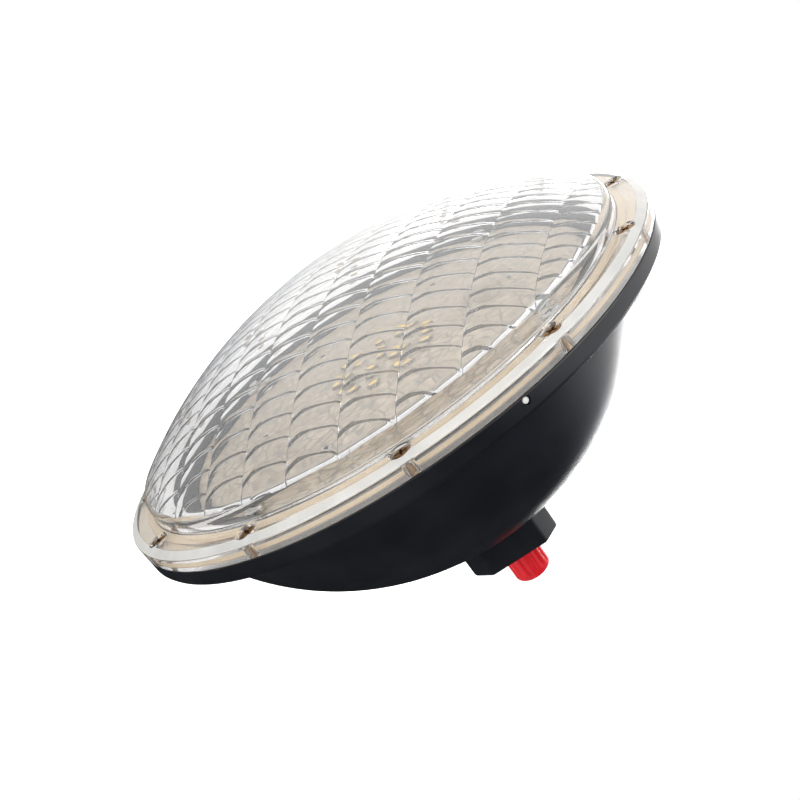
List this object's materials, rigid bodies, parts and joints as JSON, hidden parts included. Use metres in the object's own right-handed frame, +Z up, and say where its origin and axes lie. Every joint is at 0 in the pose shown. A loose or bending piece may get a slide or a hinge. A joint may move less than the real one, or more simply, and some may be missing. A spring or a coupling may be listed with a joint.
{
  "type": "underwater pool light",
  "caption": "Round underwater lamp with a clear domed prismatic lens screwed to a black bowl housing, and a capped connector on a square block at the back.",
  "frame": {"origin": "on the lamp's axis, in the plane of the black rim's rear face, which is the face that seats in the niche", "axes": "-Y out of the lens, +Y along the connector at the back, +Z up, +X to the right seen from in front of the lens"},
  "size_m": [0.1778, 0.123, 0.1778],
  "materials": {
    "clear_lens": "clear moulded polycarbonate, smooth outside and prismatic inside",
    "silicone_gasket": "cream silicone, matt",
    "lens_screws": "yellow passivated, darkened in the slots",
    "black_housing": "satin black moulded plastic",
    "white_plastic": "white moulded plastic",
    "led_board": "white solder mask",
    "thermal_pad": "grey gap filler",
    "aluminium": "turned plate",
    "brass": "bright turned brass",
    "stainless_screws": "stainless steel",
    "circuit_board": "green solder mask",
    "capacitor_sleeve": "dark blue sleeve",
    "black_component": "moulded epoxy",
    "ferrite": "sintered ferrite",
    "copper": "enamelled copper wire",
    "fuse_glass": "clear glass",
    "nickel": "nickel plate",
    "gold_contacts": "gold plate",
    "black_rubber": "matt black rubber",
    "red_insulation": "red wire insulation",
    "black_insulation": "black wire insulation",
    "red_cap": "satin red moulded plastic, fluted"
  },
  "bodies": {
    "lamp": {"block_gasket": "black_rubber", "block_screw_1": "stainless_screws", "block_screw_2": "stainless_screws", "block_screw_3": "stainless_screws", "block_screw_4": "stainless_screws", "board_screw_1": "stainless_screws", "board_screw_2": "stainless_screws", "board_screw_3": "stainless_screws", "board_screw_4": "stainless_screws", "bridge_rectifier": "black_component", "connector_block": "black_housing", "connector_insert": "white_plastic", "connector_nut": "nickel", "connector_seal": "black_rubber", "connector_shell": "nickel", "connector_washer": "nickel", "contact_pin_left": "gold_contacts", "contact_pin_right": "gold_contacts", "controller_chip": "black_component", "driver_board": "circuit_board", "driver_screw_1": "stainless_screws", "driver_screw_2": "stainless_screws", "driver_screw_3": "stainless_screws", "driver_standoff_1": "brass", "driver_standoff_2": "brass", "driver_standoff_3": "brass", "front_lens": "clear_lens", "fuse": "fuse_glass", "heat_spreader": "aluminium", "index_pip": "white_plastic", "inductor_core": "ferrite", "inductor_winding": "copper", "input_lead_black": "black_insulation", "input_lead_red": "red_insulation", "lead_grommet": "black_rubber", "led_board": "led_board", "led_lead_black": "black_insulation", "led_lead_red": "red_insulation", "lens_gasket": "silicone_gasket", "lens_screw_01": "lens_screws", "lens_screw_02": "lens_screws", "lens_screw_03": "lens_screws", "lens_screw_04": "lens_screws", "lens_screw_05": "lens_screws", "lens_screw_06": "lens_screws", "lens_screw_07": "lens_screws", "lens_screw_08": "lens_screws", "lens_screw_09": "lens_screws", "lens_screw_10": "lens_screws", "lens_screw_11": "lens_screws", "lens_screw_12": "lens_screws", "rear_housing": "black_housing", "reflector_ring": "white_plastic", "smoothing_capacitor_1": "capacitor_sleeve", "smoothing_capacitor_2": "capacitor_sleeve", "switching_transistor": "black_component", "thermal_pad": "thermal_pad"},
    "cap_washer": {"cap_seal": "black_rubber"},
    "cap": {"protective_cap": "red_cap"}
  },
  "joints": [
    {"name": "cap_travel", "type": "slide", "parent": "lamp", "child": "cap_washer", "axis": [0, 1, 0], "range_m": [0, 0.006]},
    {"name": "cap_turn", "type": "hinge", "parent": "cap_washer", "child": "cap", "pos_m": [0, 0.0755, 0], "axis": [0, 1, 0], "range_deg": [0, 2160]}
  ],
  "couplings": [
    {"joint": "cap_turn", "follows": "cap_travel", "rad_per_m": 6283.2}
  ]
}
